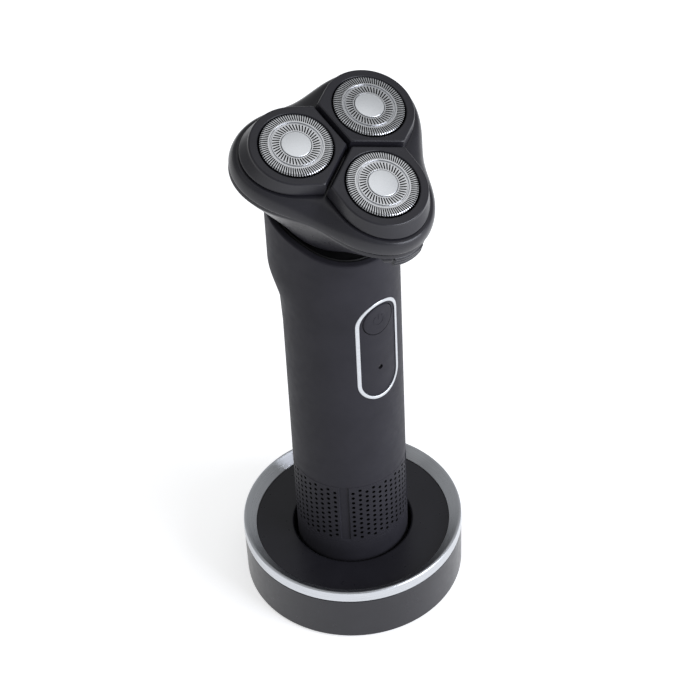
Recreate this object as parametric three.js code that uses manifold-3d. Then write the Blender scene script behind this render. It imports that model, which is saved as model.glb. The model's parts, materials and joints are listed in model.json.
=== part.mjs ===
// Three-head rotary shaver standing in its round charging stand.
// Millimetres, +Z up, front (power button) towards -Y, origin at the centre of the
// stand's underside. The head has its own frame: its origin is the middle of the
// cutting plane and its Z leans forward by headTilt.

import * as THREE from 'three';
import { mergeVertices } from 'three/addons/utils/BufferGeometryUtils.js';
import Module from 'manifold-3d';

const wasm = await Module();
wasm.setup();

// ---------------------------------------------------------------- driving sizes

// stand
const standRadius = 33.1;        // outside of the wall
const standHeight = 20.2;
const deckHeight = 17.5;         // black top plate
const deckRadius = 29.4;
const wellRadius = 17.8;         // docking cup, 1 mm wider than the handle
const wellFloor = 7.2;
const standWall = 1.6;
const padThickness = 1.0;
const contactSpread = 4.5;       // half the distance between the charging contacts

// handle
const handleRadius = 16.8;
const handleWall = 1.8;
const handleBottom = 7.5;
const gripBottom = 24.6;         // perforated band
const gripTop = 48.1;
const bulgeDepth = 3.4;          // swelling at the back over the motor
const bulgeStart = 108.4;
const bulgeEnd = 123.5;

// control panel
const panelWidth = 14.7;
const panelTop = 117.9;
const panelBottom = 81.6;
const panelBand = 1.05;
const buttonRadius = 5.1;
const buttonHeight = panelTop - 6.9;
const lampHeight = 93;

// head, in its own frame
const headCentre = [0, -7.05, 166.8];
const headTilt = 20.6;           // degrees
const rimLevel = -28.4;          // plane of the handle's rim
const tiltLevel = -31;           // axis on which the head nods
const cutterCircle = 14.3;       // cutter centres
const cutterTilt = 3;            // degrees, outwards
const cutterRadius = 9.8;
const capRadius = 4.0;
const petalTop = -0.4;           // levels of petal and cover top are in the cutter's frame
const petalBase = -4.4;
const petalTopHalf = 12.4;       // half width of the top face, and its reach to the front
const petalBaseHalf = 13;
const petalBaseReach = 14.7;
const petalGap = 0.4;            // half the groove between two petals
const coverTop = petalBase - 0.45;
const coverWide = -9.5;
const seamLevel = -10.75;        // between cover and bowl
const lipBottom = -12;
const bowlBottom = -27.2;
const bowlRadius = 15.4;
const bowlShift = -0.8;          // the bowl's foot lies a little forward
const headWall = 1.6;
const neckRadius = 12;
const hingeAxis = [22.1, -13.4]; // y and z of the cover's hinge
const hingeRadius = 1.2;
const hingeBore = 0.75;
const hingePin = 0.5;
const hingeArm = 3.3;            // half the width of the cover's arm
const hingeEnd = 7.5;            // half the length of the whole hinge

// gear train
const gearModule = 0.8;
const pinionTeeth = 13;
const gearTeeth = 22;
const gearCircle = gearModule * (pinionTeeth + gearTeeth) / 2;
const gearTop = -13.2;
const gearBottom = -16.4;

const gap = 0.3;                 // between pieces that touch
const smooth = 32;               // facets of a large round
const small = 12;                // facets of a small round
const outlineSteps = 36;         // points round a lobed outline

// ---------------------------------------------------------------- materials

function material(color, roughness, metalness) {
  return new THREE.MeshStandardMaterial({ color, roughness, metalness });
}

const finishes = {
  softBlack: () => material(0x3a3b3f, 0.62, 0),
  satinBlack: () => material(0x2b2c30, 0.4, 0),
  deepBlack: () => material(0x101113, 0.55, 0),
  brightTrim: () => material(0xc9cdd2, 0.25, 0.9),
  cutterSteel: () => material(0xb9bdc2, 0.28, 1),
  capAluminium: () => material(0xd5d8db, 0.35, 0.9),
  steel: () => material(0x8d9196, 0.4, 0.9),
  rubber: () => material(0x1b1c1e, 0.9, 0),
  gold: () => material(0xc9a24a, 0.3, 1),
  board: () => material(0x1f5a34, 0.6, 0),
  cell: () => material(0x2f6fb0, 0.4, 0.1),
  whiteGear: () => material(0xe6e3da, 0.5, 0),
  lamp: () => material(0xdfe6ea, 0.2, 0),
};

// ---------------------------------------------------------------- solids

const rad = THREE.MathUtils.degToRad;

// a closed geometry as a solid, turned outwards if its faces point in
function solid(geometry) {
  const bare = geometry.clone();
  bare.deleteAttribute('normal');
  bare.deleteAttribute('uv');
  const merged = mergeVertices(bare, 1e-4);
  const place = merged.attributes.position;
  const index = merged.index.array;
  const kept = [];
  for (let i = 0; i < index.length; i += 3) {
    const [a, b, c] = [index[i], index[i + 1], index[i + 2]];
    if (a !== b && b !== c && c !== a) kept.push(a, b, c);
  }
  if (signedVolume(place, kept) < 0) kept.reverse();
  return new wasm.Manifold(new wasm.Mesh({
    numProp: 3,
    vertProperties: new Float32Array(place.array),
    triVerts: new Uint32Array(kept),
  }));
}

function signedVolume(place, triangles) {
  const [a, b, c] = [new THREE.Vector3(), new THREE.Vector3(), new THREE.Vector3()];
  let total = 0;
  for (let i = 0; i < triangles.length; i += 3) {
    a.fromBufferAttribute(place, triangles[i]);
    b.fromBufferAttribute(place, triangles[i + 1]);
    c.fromBufferAttribute(place, triangles[i + 2]);
    total += a.dot(b.cross(c)) / 6;
  }
  return total;
}

function geometryOf(body) {
  const mesh = body.getMesh();
  const geometry = new THREE.BufferGeometry();
  geometry.setAttribute('position', new THREE.BufferAttribute(mesh.vertProperties, 3));
  geometry.setIndex(new THREE.BufferAttribute(mesh.triVerts, 1));
  return geometry;
}

// a profile of [radius, z] points turned about Z; one that leaves the axis closes on itself
function turned(profile, facets = smooth) {
  const points = profile.map(([r, z]) => new THREE.Vector2(r, z));
  const onAxis = profile[0][0] === 0 && profile[profile.length - 1][0] === 0;
  if (!onAxis) points.push(points[0].clone());
  return solid(new THREE.LatheGeometry(points, facets).rotateX(Math.PI / 2));
}

function rod(radius, low, high, facets = small, x = 0, y = 0) {
  const shape = new THREE.CylinderGeometry(radius, radius, high - low, facets);
  return solid(shape.rotateX(Math.PI / 2).translate(x, y, (low + high) / 2));
}

function tube(outer, inner, low, high, facets = smooth) {
  return turned([[inner, low], [outer, low], [outer, high], [inner, high]], facets);
}

function block(low, high) {
  const size = high.map((v, i) => v - low[i]);
  const middle = high.map((v, i) => (v + low[i]) / 2);
  return solid(new THREE.BoxGeometry(...size).translate(...middle));
}

function prism(points, low, high) {
  const shape = new THREE.Shape(points.map(([x, y]) => new THREE.Vector2(x, y)));
  const options = { depth: high - low, bevelEnabled: false };
  return solid(new THREE.ExtrudeGeometry(shape, options).translate(0, 0, low));
}

// a body through closed rings of equal length, lowest first; each ring is star-shaped
function loft(rings) {
  const count = rings[0].length;
  const positions = rings.flat().flatMap((p) => [p.x, p.y, p.z]);
  const faces = [];
  for (let level = 0; level + 1 < rings.length; level++) {
    for (let i = 0; i < count; i++) {
      const next = (i + 1) % count;
      const [a, b] = [level * count + i, level * count + next];
      faces.push(a, b, b + count, a, b + count, a + count);
    }
  }
  for (const [level, flip] of [[0, true], [rings.length - 1, false]]) {
    const centre = positions.length / 3;
    const middle = new THREE.Vector3();
    rings[level].forEach((p) => middle.addScaledVector(p, 1 / count));
    positions.push(middle.x, middle.y, middle.z);
    for (let i = 0; i < count; i++) {
      const [a, b] = [level * count + i, level * count + (i + 1) % count];
      faces.push(...(flip ? [b, a, centre] : [a, b, centre]));
    }
  }
  const geometry = new THREE.BufferGeometry();
  geometry.setAttribute('position', new THREE.Float32BufferAttribute(positions, 3));
  geometry.setIndex(faces);
  return solid(geometry);
}

// an outline given as a radius for each angle from the front, at one height or at a
// height that depends on angle and radius
function ring(radiusAt, height, count = outlineSteps, shiftY = 0) {
  return Array.from({ length: count }, (_, i) => {
    const angle = 2 * Math.PI * i / count;
    const r = radiusAt(angle);
    const z = typeof height === 'function' ? height(angle, r) : height;
    return new THREE.Vector3(r * Math.sin(angle), shiftY - r * Math.cos(angle), z);
  });
}

function moved(body, matrix) {
  return body.transform(matrix.elements);
}

const headMatrix = new THREE.Matrix4()
  .makeRotationX(rad(headTilt))
  .setPosition(...headCentre);

const petalMatrix = new THREE.Matrix4()
  .makeRotationX(rad(cutterTilt))
  .setPosition(0, -cutterCircle, 0);

// everything above a level of the head frame, in the handle's frame
function aboveHeadLevel(level) {
  return moved(block([-60, -60, level], [60, 60, level + 80]), headMatrix);
}

// ---------------------------------------------------------------- the model

const model = new THREE.Group();
const head = new THREE.Group();
head.rotation.x = rad(headTilt);
head.position.set(...headCentre);
model.add(head);

function add(name, body, finish, parent = model) {
  const mesh = new THREE.Mesh(geometryOf(body), finishes[finish]());
  mesh.name = name;
  parent.add(mesh);
}

// ---- stand

const padTop = padThickness;
const baseBottom = padTop + gap;
const baseTop = baseBottom + 2;
const screwCircle = 25;
const screwAngles = [270, 30, 150];
const inletHeight = 12.2;
const inletFace = standRadius - 0.8;
const wallFoot = 0.4;
const wallTop = 16.3;
const deckUnder = deckHeight - 1.4;
const screwBoss = 2.6;
const screwHole = 1.2;
const pinHole = 1.3;
const screwSpots = screwAngles.map((angle) => [
  screwCircle * Math.cos(rad(angle)), screwCircle * Math.sin(rad(angle)),
]);

function inletBlock(halfWidth, halfHeight, from, to) {
  const [low, high] = [inletHeight - halfHeight, inletHeight + halfHeight];
  return block([-halfWidth, from, low], [halfWidth, to, high]);
}

function standShell() {
  const inner = standRadius - standWall;
  const wall = turned([
    [standRadius - 0.5, wallFoot], [standRadius, wallFoot + 0.5], [standRadius + 0.1, wallTop],
    [inner, wallTop], [inner - 0.4, wallFoot],
  ]);
  return wall.subtract(inletBlock(5.2, 2.3, 20, 40));
}

function standTrimRing() {
  const inner = deckRadius + gap;
  return turned([
    [inner, wallTop + gap], [standRadius + 0.2, wallTop + gap], [standRadius + 0.1, 19.5],
    [standRadius - 0.2, standHeight], [standRadius - 0.6, standHeight], [inner, deckHeight + 0.1],
  ]);
}

function standTopPlate() {
  const cup = wellRadius + 1.4;
  let plate = turned([
    [0, wellFloor - 1.4], [cup, wellFloor - 1.4], [cup, deckUnder], [deckRadius, deckUnder],
    [deckRadius, deckHeight], [wellRadius + 0.4, deckHeight], [wellRadius, deckHeight - 0.4],
    [wellRadius, wellFloor], [0, wellFloor],
  ]);
  for (const [x, y] of screwSpots) {
    plate = plate.add(rod(screwBoss, baseTop + gap, deckUnder + 0.5, small, x, y));
    plate = plate.subtract(rod(screwHole, baseTop, 12, small, x, y));
  }
  for (const x of [-contactSpread, contactSpread]) {
    plate = plate.subtract(rod(pinHole, 5, 8, small, x));
  }
  return plate;
}

function standBasePlate() {
  let plate = rod(standRadius - standWall - 0.8, baseBottom, baseTop, smooth);
  for (const [x, y] of screwSpots) {
    plate = plate.subtract(rod(2.5, baseBottom - 1, baseBottom + 1.3, small, x, y));
    plate = plate.subtract(rod(screwHole, baseBottom, baseTop + 1, small, x, y));
  }
  return plate;
}

function ballastRing() {
  let weight = tube(28.5, 21, baseTop + gap, 9.6);
  for (const [x, y] of screwSpots) {
    weight = weight.subtract(rod(3, 0, 12, small, x, y));
  }
  return weight;
}

function standScrew([x, y]) {
  const headLow = baseBottom + 0.2;
  return rod(2.1, headLow, headLow + 0.9, 12, x, y).add(rod(0.9, headLow, 11, 12, x, y));
}

function chargingPin(x) {
  return turned([
    [0, 5.2], [1.5, 5.2], [1.5, 5.6], [1, 5.6], [1, 7.1], [0.7, 7.4], [0, 7.4],
  ], 12).translate([x, 0, 0]);
}

function powerInlet() {
  const socket = inletBlock(4.9, 2, 23.5, inletFace).subtract(inletBlock(4.2, 1.3, 25, 40));
  return socket.add(inletBlock(3.3, 0.35, 24, 30.8));
}

add('anti_slip_pad', rod(28.5, 0, padTop, smooth), 'rubber');
add('stand_base_plate', standBasePlate(), 'satinBlack');
add('stand_shell', standShell(), 'satinBlack');
add('stand_trim_ring', standTrimRing(), 'brightTrim');
add('stand_top_plate', standTopPlate(), 'satinBlack');
add('ballast_ring', ballastRing(), 'steel');
add('charging_board', rod(16, baseTop + 0.2, baseTop + 0.9, smooth), 'board');
add('power_inlet', powerInlet(), 'steel');
screwSpots.forEach((spot, i) => add(`stand_screw_${i + 1}`, standScrew(spot), 'steel'));
add('charging_pin_left', chargingPin(-contactSpread), 'gold');
add('charging_pin_right', chargingPin(contactSpread), 'gold');

// ---- handle

const boardFront = -10.4;
const switchHalf = 2.2;
const batteryRadius = 7;
const coreRadius = handleRadius - handleWall - gap;

function smoothstep(value, from, to) {
  const t = THREE.MathUtils.clamp((value - from) / (to - from), 0, 1);
  return t * t * (3 - 2 * t);
}

// the handle's round body, which swells at the back near its top
function handleBody(radius, low, high) {
  const shares = [0, 0.2, 0.4, 0.6, 0.8, 1];
  const swelling = shares.map((t) => THREE.MathUtils.lerp(bulgeStart, bulgeEnd, t));
  return loft([low, ...swelling, high].map((z) => ring((angle) => {
    const fromFront = THREE.MathUtils.radToDeg(Math.min(angle, 2 * Math.PI - angle));
    const share = smoothstep(fromFront, 70, 145) * smoothstep(z, bulgeStart, bulgeEnd);
    return radius + bulgeDepth * share;
  }, z, smooth)));
}

// an upright oval with round ends, pushed through the front wall
function frontOval(halfWidth, low, high) {
  const shape = new THREE.Shape();
  shape.absarc(0, high - halfWidth, halfWidth, 0, Math.PI);
  shape.absarc(0, low + halfWidth, halfWidth, Math.PI, 2 * Math.PI);
  const options = { depth: 12, bevelEnabled: false, curveSegments: 8 };
  return solid(new THREE.ExtrudeGeometry(shape, options).translate(0, 0, 10).rotateX(Math.PI / 2));
}

function frontRod(radius, from, to, z, facets = small) {
  const shape = new THREE.CylinderGeometry(radius, radius, to - from, facets);
  return solid(shape.translate(0, (from + to) / 2, z));
}

function ovalInside(inset) {
  return frontOval(panelWidth / 2 - inset, panelBottom + inset, panelTop - inset);
}

function handleShell() {
  return handleBody(handleRadius, gripTop + gap, 150)
    .subtract(handleBody(handleRadius - handleWall, gripTop - 5, 155))
    .subtract(aboveHeadLevel(rimLevel))
    .subtract(ovalInside(-gap));
}

function gripSleeve() {
  let sleeve = tube(handleRadius, coreRadius + gap, gripBottom, gripTop);
  const groove = block([-0.3, -20, gripBottom - 1], [0.3, -handleRadius + 0.5, gripTop + 1]);
  for (const angle of [45, 135, 225, 315]) {
    sleeve = sleeve.subtract(groove.rotate([0, 0, angle]));
  }
  return sleeve;
}

function baseCap() {
  const wall = coreRadius + gap;
  const top = gripBottom - gap;
  let cap = turned([
    [0, handleBottom], [handleRadius - 0.6, handleBottom], [handleRadius, handleBottom + 0.6],
    [handleRadius, top], [wall, top], [wall, handleBottom + 1.6], [0, handleBottom + 1.6],
  ]);
  for (const x of [-contactSpread, contactSpread]) {
    cap = cap.subtract(rod(1.9, 0, 12, small, x));
  }
  return cap;
}

function panelTrimRing() {
  const skin = tube(handleRadius + 0.15, handleRadius - 1.3, 75, 125);
  return ovalInside(0).subtract(ovalInside(panelBand)).intersect(skin);
}

function controlPanel() {
  const skin = tube(handleRadius - 0.25, handleRadius - 1.7, 75, 125);
  return ovalInside(panelBand + gap)
    .intersect(skin)
    .subtract(frontRod(buttonRadius + 0.2, -20, -10, buttonHeight, 24))
    .subtract(frontRod(0.85, -20, -10, lampHeight, 12));
}

function powerButton() {
  return frontRod(buttonRadius - 0.1, -18, -13.6, buttonHeight, 24)
    .intersect(rod(handleRadius - 0.1, 90, 130, smooth))
    .add(frontRod(1.2, -13.7, -13.1, buttonHeight, 12));
}

function buttonSwitch() {
  const low = [-switchHalf, boardFront - 1.5, buttonHeight - switchHalf];
  const high = [switchHalf, boardFront - gap, buttonHeight + switchHalf];
  return block(low, high)
    .add(frontRod(1, boardFront - 1.8, boardFront - 1, buttonHeight, 12));
}

function chassis() {
  const back = block([-20, 1, 0], [20, 20, 200]);
  let frame = tube(coreRadius - 1.1, coreRadius - 2.3, 24, 112).intersect(back);
  const shelfSpace = block([-20, -5, 0], [20, 20, 200]);
  for (const [low, high] of [[27, 29.6], [80.4, 83]]) {
    frame = frame.add(rod(coreRadius - 2, low, high, smooth).intersect(shelfSpace));
  }
  return frame;
}

const insideHandle = handleBody(handleRadius - handleWall - gap, 95, 160);

function handleSlice(low, high) {
  return insideHandle.intersect(aboveHeadLevel(low)).subtract(aboveHeadLevel(high));
}

function crossRod(radius, from, to, y, z, facets = small) {
  const shape = new THREE.CylinderGeometry(radius, radius, to - from, facets);
  return solid(shape.rotateZ(Math.PI / 2).translate((from + to) / 2, y, z));
}

function inHead(body) {
  return moved(body, headMatrix);
}

function neckRing() {
  return handleSlice(tiltLevel - 2.6, tiltLevel + 1.7)
    .subtract(inHead(rod(neckRadius + 0.6, -60, -20, smooth)))
    .subtract(inHead(crossRod(1.2, -14.2, 14.2, 0, tiltLevel)));
}

function motorBracket() {
  return handleSlice(-37.6, -36.2).subtract(inHead(rod(7.3, -60, -20, smooth)));
}

add('base_cap', baseCap(), 'softBlack');
add('contact_pad_left', rod(1.6, handleBottom, handleBottom + 1.4, small, -contactSpread), 'gold');
add('contact_pad_right', rod(1.6, handleBottom, handleBottom + 1.4, small, contactSpread), 'gold');
add('grip_sleeve', gripSleeve(), 'softBlack');
add('handle_core', tube(coreRadius, coreRadius - 0.8, handleBottom + 2, 58), 'deepBlack');
add('handle_shell', handleShell(), 'softBlack');
add('panel_trim_ring', panelTrimRing(), 'brightTrim');
add('control_panel', controlPanel(), 'softBlack');
add('indicator_lens', frontRod(0.55, -16.3, -11.2, lampHeight, 12), 'lamp');
add('power_button', powerButton(), 'softBlack');
add('button_switch', buttonSwitch(), 'steel');
add('main_board', block([-6.5, boardFront, 60], [6.5, boardFront + 1.2, 119]), 'board');
add('battery', rod(batteryRadius, 30, 80, 20, 0, 2.8), 'cell');
add('chassis', chassis(), 'satinBlack');
add('neck_ring', neckRing(), 'deepBlack');
add('motor_bracket', motorBracket(), 'satinBlack');
[['right', 1], ['left', -1]].forEach(([side, sign]) => {
  const ends = [10.9 * sign, 14 * sign].sort((a, b) => a - b);
  add(`tilt_pin_${side}`, crossRod(0.9, ...ends, 0, tiltLevel, 12), 'steel', head);
});

// ---- motor and gear train, in the head's frame

const canBottom = -48.5;
const canTop = -35.3;
const canRadius = 7;
const canWall = 0.8;
const rotorRadius = 5.4;
const shaftRadius = 0.8;
const hubRadius = 3.2;
const spindleRadius = 1.4;
const tipTop = -4;
const hubBottom = -5.2;

function hexagon(corner, low, high, y = 0) {
  const shape = new THREE.CylinderGeometry(corner, corner, high - low, 6);
  return solid(shape.rotateX(Math.PI / 2).translate(0, y, (low + high) / 2));
}

function motorCan() {
  const inner = canRadius - canWall;
  return turned([
    [0, canBottom], [canRadius, canBottom], [canRadius, canTop], [1.3, canTop],
    [1.3, canTop - canWall], [inner, canTop - canWall], [inner, canBottom + canWall],
    [0, canBottom + canWall],
  ], 20);
}

function motorRotor() {
  const [low, high] = [canBottom + 1.3, canTop - 2.2];
  return turned([
    [0, low], [rotorRadius, low], [rotorRadius, high], [shaftRadius, high],
    [shaftRadius, -29.3], [0, -29.3],
  ], small);
}

function driveCoupling() {
  return hexagon(2, -30.8, -25).subtract(rod(shaftRadius + gap, -32, -29, small));
}

// involute teeth as one closed outline, with the first tooth at angle turn
function gearOutline(teeth, turn) {
  const pitch = gearModule * teeth / 2;
  const base = pitch * Math.cos(rad(20));
  const tip = pitch + 0.85 * gearModule;
  const root = pitch - 1.15 * gearModule;
  const involute = (r) => {
    const slope = Math.acos(Math.min(1, base / r));
    return Math.tan(slope) - slope;
  };
  const half = Math.PI / (2 * teeth) - 0.1 / pitch + involute(pitch);
  const start = Math.max(base, root);
  const flank = [root, (start + pitch) / 2, tip];
  const points = [];
  for (let tooth = 0; tooth < teeth; tooth++) {
    const middle = turn + 2 * Math.PI * tooth / teeth;
    const sides = flank.map((r) => [r, half - involute(Math.max(r, start))]);
    const rising = sides.map(([r, a]) => [r, middle - a]);
    const falling = sides.reverse().map(([r, a]) => [r, middle + a]);
    for (const [r, a] of [...rising, ...falling]) points.push([r * Math.cos(a), r * Math.sin(a)]);
  }
  return points;
}

function sunPinion() {
  return prism(gearOutline(pinionTeeth, 0), gearBottom, gearTop)
    .add(rod(hubRadius, -27.4, gearBottom + 0.5))
    .subtract(hexagon(2.7, -28, -24));
}

// the gear under one cutter, turned so that its teeth mesh with the pinion's
function driveGear(lobe) {
  const towardsGear = -Math.PI / 2;
  const pinionTurn = -rad(120) * lobe;
  const meshing = ((towardsGear - pinionTurn) * pinionTeeth + Math.PI) / gearTeeth;
  const turn = towardsGear + Math.PI + meshing;
  return prism(gearOutline(gearTeeth, turn), gearBottom, gearTop)
    .translate([0, -gearCircle, 0])
    .add(rod(spindleRadius, -18.6, -5.5, small, 0, -gearCircle))
    .add(hexagon(1.9, -6, tipTop, -gearCircle));
}

add('motor_can', motorCan(), 'steel', head);
add('motor_rotor', motorRotor(), 'steel', head);
add('drive_coupling', driveCoupling(), 'whiteGear', head);
add('sun_pinion', sunPinion(), 'whiteGear', head);

// ---- head housing, in the head's frame

function lobed(base, wave) {
  return (angle) => base + wave * Math.cos(3 * angle);
}

// the angle from the middle of the nearest lobe
function lobeAngle(angle) {
  const sector = rad(120);
  return Math.abs(angle - Math.round(angle / sector) * sector);
}

// three lobes with straight sides and a round front that reaches past the cutter's centre
function petalOutline(half, reach) {
  return (angle) => {
    const a = lobeAngle(angle);
    if (a > Math.atan(half / cutterCircle)) return half / Math.sin(a);
    const spread = (Math.sin(a) / half) ** 2 + (Math.cos(a) / reach) ** 2;
    const along = cutterCircle * Math.cos(a) / reach ** 2;
    const beyond = (cutterCircle / reach) ** 2 - 1;
    return (along + Math.sqrt(along ** 2 - spread * beyond)) / spread;
  };
}

// height of a level of the tilted cutter frames, under a point of the head's frame
function cutterPlane(level) {
  const slope = Math.tan(rad(cutterTilt));
  return (angle, r) => level - slope * (r * Math.cos(lobeAngle(angle)) - cutterCircle);
}

function mix(first, second, share) {
  return (angle) => first(angle) + (second(angle) - first(angle)) * share;
}

function shrunk(outline, by) {
  return (angle) => outline(angle) - by;
}

const coverEdge = petalOutline(petalBaseHalf + 0.3, petalBaseReach + 0.3);
const widest = lobed(26.5, 4.3);
const seamOutline = lobed(25.5, 4.75);
const lipOutline = lobed(25.6, 4.9);
const holeRadius = 10.9;         // openings of the cover under the cutters
const gearCoverTop = -10.5;
const collarRadius = 3.6;
const ridges = 3;                // on the release button
const ridgePitch = 1.15;
const releaseTop = -12.3;
const releaseBottom = releaseTop - ridges * ridgePitch;

function onEachLobe(make) {
  return [0, 1, 2].map((lobe) => make(lobe).rotate([0, 0, 120 * lobe]));
}

// a plate or arm drawn in the Y and Z plane and made as wide as from..to along X
function sideProfile(points, from, to) {
  const shape = new THREE.Shape(points.map(([y, z]) => new THREE.Vector2(y, z)));
  const options = { depth: to - from, bevelEnabled: false };
  const geometry = new THREE.ExtrudeGeometry(shape, options).translate(0, 0, from);
  return solid(geometry.rotateX(Math.PI / 2).rotateZ(Math.PI / 2));
}

function headCover() {
  const topPlane = cutterPlane(coverTop);
  const edgeHeight = (angle) => topPlane(angle, coverEdge(angle));
  const outside = [0, 0.3, 0.6, 0.8, 1].map((t) => {
    const turn = t * Math.PI / 2;
    const height = (angle) => THREE.MathUtils.lerp(coverWide, edgeHeight(angle), Math.cos(turn));
    return ring(mix(coverEdge, widest, Math.sin(turn)), height);
  });
  outside.push(ring(seamOutline, seamLevel + 0.15));
  const inside = [
    ring(shrunk(seamOutline, 1.7), seamLevel - 1),
    ring(shrunk(widest, 1.9), coverWide + 0.5),
    ring(shrunk(mix(coverEdge, widest, 0.75), 2), (angle) => edgeHeight(angle) - headWall),
  ];
  let cover = loft(outside.reverse()).subtract(loft(inside));
  for (const hole of onEachLobe(() => rod(holeRadius, -8, -4, 24, 0, -cutterCircle))) {
    cover = cover.subtract(hole);
  }
  const [hingeY, hingeZ] = hingeAxis;
  const arm = sideProfile([
    [21.3, -9], [22.2, -9.4], [hingeY + 1.1, hingeZ + 0.5], [hingeY, hingeZ], [21.6, -10.9],
  ], -hingeArm, hingeArm);
  const latchCatch = block([-2.5, -29.6, -9.9], [2.5, -28.4, -9.3]);
  return cover
    .add(arm)
    .add(crossRod(hingeRadius, -hingeArm, hingeArm, hingeY, hingeZ))
    .subtract(crossRod(hingeBore, -5, 5, hingeY, hingeZ, 12))
    .add(latchCatch);
}

// how much of the lobed lip is left at a share of the way down to the round foot
function bowlLevel(share, inset) {
  const foot = () => bowlRadius - inset;
  const left = 1 - share ** 1.05;
  const z = THREE.MathUtils.lerp(lipBottom, bowlBottom, share);
  return ring(mix(foot, shrunk(lipOutline, inset), left), z, outlineSteps, bowlShift * share);
}

// a stretch of the lip's outline as a closed ring, from one inset to a deeper one
function lipStrip(halfAngle, outer, inner, z) {
  const steps = 6;
  const outline = (inset) => Array.from({ length: steps + 1 }, (_, i) => {
    const angle = halfAngle * (2 * i / steps - 1);
    const r = lipOutline(angle) - inset;
    return new THREE.Vector3(r * Math.sin(angle), -r * Math.cos(angle), z);
  });
  return [...outline(outer), ...outline(inner).reverse()];
}

// the thicker wall round the release button
function buttonHousing() {
  return loft([
    lipStrip(rad(12), 5.6, 9, -18),
    lipStrip(rad(14), 0.1, 9, -14),
    lipStrip(rad(16.5), 0.05, 9, lipBottom + 0.1),
  ]);
}

function headBowl() {
  const shares = [0, 0.2, 0.4, 0.6, 0.8, 1];
  const outside = [ring(seamOutline, seamLevel - 0.15), ...shares.map((s) => bowlLevel(s, 0))];
  const mouth = shrunk(seamOutline, 1.7);
  const cavity = [ring(mouth, seamLevel + 1), ring(mouth, lipBottom)];
  cavity.push(...[0.2, 0.4, 0.6, 0.88].map((s) => bowlLevel(s, 2)));
  const [hingeY, hingeZ] = hingeAxis;
  let bowl = loft(outside.reverse())
    .add(rod(neckRadius, -33.4, -26, smooth))
    .add(buttonHousing())
    .subtract(loft(cavity.reverse()))
    .subtract(rod(10.2, -40, -20, smooth))
    .subtract(crossRod(1.2, -16, 16, 0, tiltLevel))
    .subtract(block([-5.2, -34, releaseBottom - gap], [5.2, -24, releaseTop + gap]));
  const knuckle = hingeArm + 0.4;
  for (const [from, to] of [[-hingeEnd, -knuckle], [knuckle, hingeEnd]]) {
    bowl = bowl
      .add(block([from, 19.6, hingeZ - 1.1], [to, hingeY, hingeZ + 1.1]))
      .add(crossRod(hingeRadius, from, to, hingeY, hingeZ));
  }
  return bowl.subtract(crossRod(hingeBore, -10, 10, hingeY, hingeZ, 12));
}

function gearCover() {
  const outline = lobed(23.1, 4.6);
  let plate = loft([ring(outline, gearCoverTop - 1.2), ring(outline, gearCoverTop)]);
  for (const collar of onEachLobe(() => rod(collarRadius, -11, -8.6, small, 0, -gearCircle))) {
    plate = plate.add(collar);
  }
  for (const hole of onEachLobe(() => rod(2.2, -13, -8, small, 0, -gearCircle))) {
    plate = plate.subtract(hole);
  }
  return plate.subtract(block([-3, -30, -13], [3, -24.8, -9]));
}

function gearBed() {
  const [low, high] = [-18.8, -17.2];
  const outline = lobed(18.4, 2.9);
  let bed = loft([ring(outline, low), ring(outline, high)]).subtract(rod(3.6, -20, -16, 16));
  for (const bore of onEachLobe(() => rod(1.75, -20, -16, small, 0, -gearCircle))) {
    bed = bed.subtract(bore);
  }
  for (const post of onEachLobe(() => rod(1.3, high - 0.5, -12, 12, 0, 14.2))) {
    bed = bed.add(post);
  }
  return bed;
}

// three ridges across a plate that follows the lobe's outline, with a latch arm behind it
function releaseButton() {
  const half = rad(9);
  const [low, proud] = [0.35, -0.3];
  const levels = [];
  for (let ridge = 0; ridge < ridges; ridge++) {
    for (const [share, inset] of [[0.05, low], [0.3, proud], [0.7, proud], [0.95, low]]) {
      const z = releaseTop - (ridge + share) * ridgePitch;
      levels.push(lipStrip(half, inset, 3.1, z));
    }
  }
  return loft(levels.reverse())
    .add(block([-2.4, -27.7, -14.6], [2.4, -26.6, -8.6]))
    .add(block([-2.4, -28.2, -9.1], [2.4, -27, -8.6]));
}

add('head_bowl', headBowl(), 'satinBlack', head);
add('gear_bed', gearBed(), 'satinBlack', head);
add('gear_cover', gearCover(), 'satinBlack', head);
add('release_button', releaseButton(), 'satinBlack', head);
add('hinge_pin', crossRod(hingePin, 0.2 - hingeEnd, hingeEnd - 0.2, ...hingeAxis, 12), 'steel', head);
add('head_cover', headCover(), 'satinBlack', head);

// ---- petals and cutters, built for the front lobe and turned for the others

// the space of one petal, between the grooves on its two sides
function petalSector() {
  const reach = 60;
  return loft([[-9, petalGap], [-2.4, petalGap], [1, petalGap + 0.9]].map(([z, side]) => {
    const apex = -side / Math.sin(rad(60));
    const far = reach * Math.cos(rad(60));
    const wide = reach * Math.sin(rad(60));
    const corners = [[0, apex], [-wide, apex - far], [wide, apex - far]];
    return corners.map(([x, y]) => new THREE.Vector3(x, y, z));
  }));
}

// a round front with straight sides that run back past the head's centre
function petalRing(half, reach, z) {
  const back = cutterCircle + 2;
  const points = [new THREE.Vector3(half, back, z), new THREE.Vector3(-half, back, z)];
  const steps = 14;
  for (let i = 0; i <= steps; i++) {
    const angle = Math.PI + Math.PI * i / steps;
    points.push(new THREE.Vector3(half * Math.cos(angle), reach * Math.sin(angle), z));
  }
  return points;
}

function petal() {
  const [edge, land] = [0.3, 0.4];
  const body = loft([
    petalRing(petalBaseHalf, petalBaseReach, petalBase),
    petalRing(petalBaseHalf, petalBaseReach, petalBase + land),
    petalRing(petalTopHalf + edge / 2, petalTopHalf + edge, petalTop - edge),
    petalRing(petalTopHalf, petalTopHalf, petalTop),
  ]);
  const hole = rod(cutterRadius + 0.35, -9, 2, 24);
  return moved(body.subtract(hole), petalMatrix).intersect(petalSector());
}

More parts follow.
